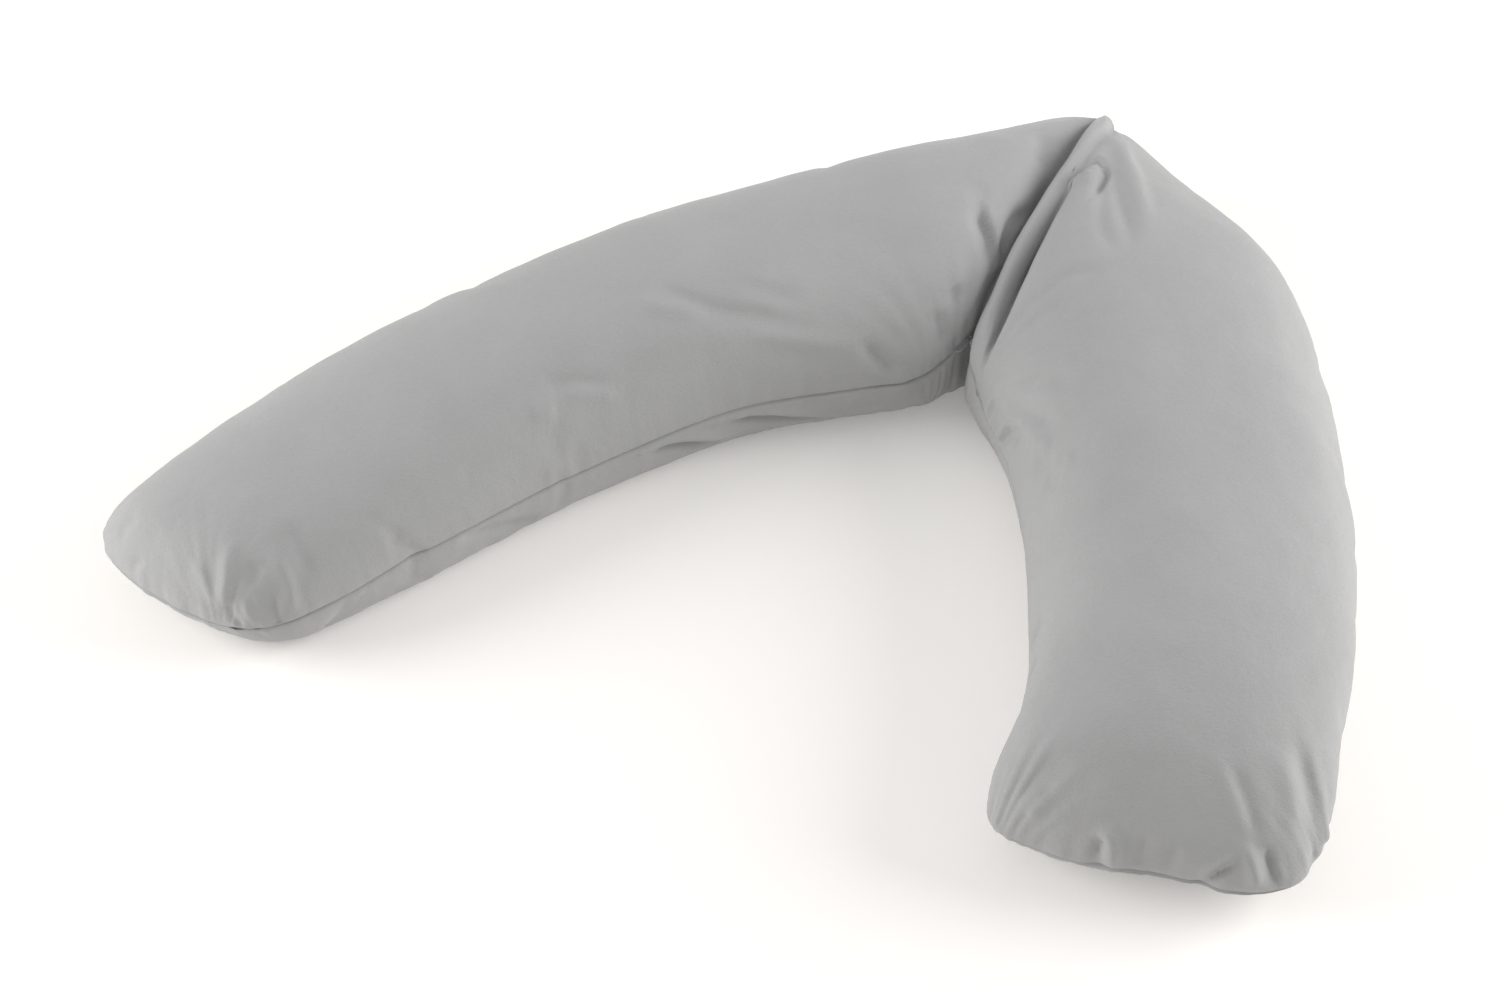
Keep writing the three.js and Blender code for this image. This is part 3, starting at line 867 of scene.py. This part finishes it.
def innerForm(inset):
    # the cover's own coarse points, which the finer mesh keeps at its start, moved in: by their normals, and
    # at the seam towards the middle of the arm
    coarse = closedPillow()
    form = points[: len(coarse.vertices)]
    setVertices(coarse, form)
    place = np.clip(attributeOf(coarse, "along"), inner["tipShare"], 1 - inner["tipShare"])
    middle = pillowPoints(place, np.zeros(len(place)), -1)
    middle[:, 2] = inner["middleHeight"]
    toward = middle - form
    toward /= np.linalg.norm(toward, axis=1)[:, None]
    rim = (1 - smoothStep(np.abs(attributeOf(coarse, "side")), *inner["rim"]))[:, None]
    fromSeam = inner["rimInset"] * inset + inner["rimExtra"]
    form = form - vertexArray(coarse, "normal") * inset * (1 - rim) + toward * fromSeam * rim
    # and well away from the fold's two corners, where the cover is pinched
    for corner, core in inner["corners"]:
        near = np.linalg.norm(form[:, :2] - np.array(corner), axis=1)
        pull = inner["cornerPull"] * np.exp(-((near / inner["cornerReach"]) ** 2))
        form -= (form - np.array(core)) * pull[:, None]
    form[:, 2] = np.maximum(form[:, 2], inset * inner["offGround"])
    setVertices(coarse, form)
    return coarse


def plainFinish(name, colour, roughness):
    material, tree = newMaterial(name)
    shader = addNode(tree, "ShaderNodeBsdfPrincipled", Roughness=roughness)
    shader.inputs["Base Color"].default_value = linear(colour)
    addNode(tree, "ShaderNodeOutputMaterial", Surface=shader.outputs["BSDF"])
    return material


def nickel(name, colour, scuffSize):
    # zinc die-cast, nickel-plated and tumbled: a warm grey gleam, finely scuffed
    material, tree = newMaterial(name)
    place = addNode(tree, "ShaderNodeTexCoord").outputs["Object"]
    scuff = addNode(tree, "ShaderNodeTexNoise", Vector=place, Scale=perMetre(scuffSize), Detail=4.0)
    rough = addNode(tree, "ShaderNodeMapRange", Value=scuff.outputs["Fac"], To_Min=0.24, To_Max=0.42)
    bump = addNode(tree, "ShaderNodeBump", Strength=0.2, Distance=0.00005, Height=scuff.outputs["Fac"])
    shader = addNode(tree, "ShaderNodeBsdfPrincipled", Metallic=1.0, Normal=bump.outputs["Normal"])
    tree.links.new(rough.outputs["Result"], shader.inputs["Roughness"])
    shader.inputs["Base Color"].default_value = linear(colour)
    addNode(tree, "ShaderNodeOutputMaterial", Surface=shader.outputs["BSDF"])
    return material


def woven(name, colour, thread, roughness):
    # a narrow woven tape: its ribs, a thread apart, cross the tape and catch the light
    material, tree = newMaterial(name)
    place = addNode(tree, "ShaderNodeTexCoord").outputs["Object"]
    scale = perMetre(thread) * math.pi / 10
    bands = {"bands_direction": "Z"}
    ribs = addNode(tree, "ShaderNodeTexWave", bands, Vector=place, Scale=scale, Distortion=0.6)
    bump = addNode(tree, "ShaderNodeBump", Strength=0.6, Distance=0.0002, Height=ribs.outputs["Fac"])
    shader = addNode(tree, "ShaderNodeBsdfPrincipled", Roughness=roughness, Normal=bump.outputs["Normal"])
    shader.inputs["Base Color"].default_value = linear(colour)
    shader.inputs["Sheen Weight"].default_value = 0.1
    addNode(tree, "ShaderNodeOutputMaterial", Surface=shader.outputs["BSDF"])
    return material


metal = nickel("zinc die-cast, nickel-plated", "#b9b6b0", 1.111)
tape = woven("woven polyester zip tape", "#8f9193", 0.6, 0.75)
satin = woven("woven polyester satin ribbon", "#eeeeec", 0.4, 0.45)
nylon = plainFinish("nylon monofilament coil", "#85878a", 0.35)  # drawn smooth: a soft gloss
zipFinishes = {
    "zip_tape_upper": tape,
    "zip_tape_lower": tape,
    "zip_slider": metal,
    "zip_pull": metal,
    "zip_stop_closed": metal,
    "zip_stop_open": metal,
}
for name, finish in zipFinishes.items():
    bpy.data.objects[name].material_slots[0].material = finish

lawn = plainFinish("plain-woven cotton lawn, undyed", "#e9e6dd", 0.9)  # thin: matte, warm white
casingForm = innerForm(inner["casingInset"])
casingTop = finishPiece("casing_top", onePanel(casingForm, 0), lawn)
casingBottom = finishPiece("casing_bottom", onePanel(casingForm, 1), lawn)
beadMesh = innerForm(inner["beadInset"])
foam = plainFinish("expanded polystyrene beads, heaped", "#f4f4ef", 0.7)  # steam-moulded: chalky
beadMesh.materials.append(foam)
for polygon in beadMesh.polygons:
    polygon.material_index = 0
beads = newObject("bead_fill", beadMesh)

for piece, nodes, slot in (
    (coverTop, ("cover_top_left", "cover_top_right"), "cover"),
    (coverBottom, ("cover_bottom_left", "cover_bottom_right"), "cover"),
    (casingTop, ("casing_top_left", "casing_top_right"), "casing"),
    (casingBottom, ("casing_bottom_left", "casing_bottom_right"), "casing"),
    (beads, ("bead_fill_left", "bead_fill_right"), "beads"),
):
    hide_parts(*nodes)
    bend(piece)
bpy.data.objects.remove(pillow)

print("zip")


def addDot(bm, place, sizes, turn, tilt=0.0):
    # one small rounded bead of a row: a stitch or a tooth, along x, outwards y and up z before it is turned
    made = bmesh.ops.create_uvsphere(bm, u_segments=6, v_segments=4, radius=1)["verts"]
    bmesh.ops.scale(bm, vec=sizes, verts=made)
    matrix = Matrix.Translation(place) @ Matrix.Rotation(turn, 4, "Z") @ Matrix.Rotation(tilt, 4, "Y")
    bmesh.ops.transform(bm, matrix=matrix, verts=made)


def rowPiece(name, bm, material):
    for face in bm.faces:
        face.smooth = True
    piece = finishPiece(name, bm, material)
    return piece


def spun(name, colour, ply, roughness):
    # spun polyester thread, its plies a ply apart: a soft shine along each stitch
    material, tree = newMaterial(name)
    place = addNode(tree, "ShaderNodeTexCoord").outputs["Object"]
    scale = perMetre(ply) * math.pi / 5
    bands = {"bands_direction": "DIAGONAL"}
    plies = addNode(tree, "ShaderNodeTexWave", bands, Vector=place, Scale=scale, Distortion=2.0)
    bump = addNode(tree, "ShaderNodeBump", Strength=0.5, Distance=0.0001, Height=plies.outputs["Fac"])
    shader = addNode(tree, "ShaderNodeBsdfPrincipled", Roughness=roughness, Normal=bump.outputs["Normal"])
    shader.inputs["Base Color"].default_value = linear(colour)
    addNode(tree, "ShaderNodeOutputMaterial", Surface=shader.outputs["BSDF"])
    return material


thread = spun("spun polyester sewing thread, grey", "#9a9b9c", 1.496, 0.6)
for way, panel, level in ((1, coverTop, "upper"), (-1, coverBottom, "lower")):
    form = vertexArray(panel.data)
    finder = KDTree(len(form))
    for v, point in enumerate(form):
        finder.insert(point, v)
    finder.balance()
    facing = vertexArray(panel.data, "normal")
    bm = bmesh.new()
    step = math.degrees(zipper["stitch"] / zipper["radius"])
    for angle in np.arange(zipper["from"] + step, zipper["to"] - step, step):
        height = zipper["height"] + way * (zipper["parted"] + zipper["stitchFromEdge"])
        place, v, _ = finder.find(onZip(angle, zipper["radius"] + zipper["stitchSearch"], height))
        target = Vector(onZip(angle, zipPlace(np.array([place]))[1][0], height))
        target += Vector(facing[v]) * zipper["stitchLift"]
        addDot(bm, target, zipper["stitchSize"], math.radians(angle - 90))
    stitches = rowPiece(f"zip_stitches_{level}", bm, thread)
    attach(stitches, "arm_left")

    bm = bmesh.new()
    step = math.degrees(zipper["tooth"] / zipper["radius"])
    shift = 0.5 * step if way < 0 else 0  # one side's teeth come between the other's
    for angle in np.arange(zipper["from"] + zipper["toothEnds"], zipper["to"] - zipper["toothEnds"], step):
        height = zipper["height"] + way * zipper["toothUp"]
        place = onZip(angle + shift, zipper["radius"] + zipper["toothOut"], height)
        addDot(bm, place, zipper["toothSize"], math.radians(angle - 90), zipper["toothTurn"])
    teeth = rowPiece(f"zip_teeth_{level}", bm, nylon)
    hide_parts(f"zip_coil_{level}")
    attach(teeth, "arm_left")

print("care label")
labelSize = {"length": 0.045, "height": 0.025, "from": 123.8, "radius": 1.4548}
bm = bmesh.new()
turn = math.degrees(labelSize["length"] / labelSize["radius"])
for v in bmesh.ops.create_grid(bm, x_segments=18, y_segments=10, size=0.5)["verts"]:
    height = zipper["height"] + labelSize["height"] * v.co.y
    v.co = onZip(labelSize["from"] + turn * (v.co.x + 0.5), labelSize["radius"], height)
label = rowPiece("care_label_blank", bm, satin)
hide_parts("care_label")
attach(label, "arm_left")

print("floor and light")
studio = {
    "floor": (0.9, 0.874, 0.842, 1),
    # strength of the floor's painted glow, which brightens the shadows on it
    "paintedGlow": 0.15,
    "floorReach": 12,
    "below": 0.0005,
    "sky": 0.56,
    "softboxSize": 2.2,
    "softboxPower": 72,
}
# White seamless paper: matte, with a faint painted glow of its own, though it is no lamp, that lifts the
# shadows cast on it.
floorMaterial, tree = newMaterial("white seamless studio floor")
paper = addNode(tree, "ShaderNodeBsdfDiffuse", Color=studio["floor"])
paintedLight = addNode(tree, "ShaderNodeEmission", Strength=studio["paintedGlow"])
both = addNode(tree, "ShaderNodeAddShader")
tree.links.new(paper.outputs["BSDF"], both.inputs[0])
tree.links.new(paintedLight.outputs["Emission"], both.inputs[1])
addNode(tree, "ShaderNodeOutputMaterial", Surface=both.outputs["Shader"])
bm = bmesh.new()
bmesh.ops.create_grid(bm, x_segments=1, y_segments=1, size=studio["floorReach"])
floor = finishPiece("floor", bm, floorMaterial)
floor.location.z = -studio["below"]

world = bpy.data.worlds.new("studio")
bpy.context.scene.world = world
world.use_nodes = True
backdrop = world.node_tree.nodes["Background"]
backdrop.inputs["Color"].default_value = (1, 1, 1, 1)
backdrop.inputs["Strength"].default_value = studio["sky"]


def addSoftbox(name, place, target):
    data = bpy.data.lights.new(name, "AREA")
    data.shape = "DISK"
    data.size = studio["softboxSize"]
    data.energy = studio["softboxPower"]
    light = bpy.data.objects.new(name, data)
    light.location = place
    light.rotation_euler = (Vector(target) - Vector(place)).to_track_quat("-Z", "Y").to_euler()
    bpy.context.scene.collection.objects.link(light)


addSoftbox("right softbox", (2.8, 0.3, 1.3), (0.2, 0, 0.1))
addSoftbox("left softbox", (-2.9, 0.0, 1.3), (-0.2, 0, 0.1))
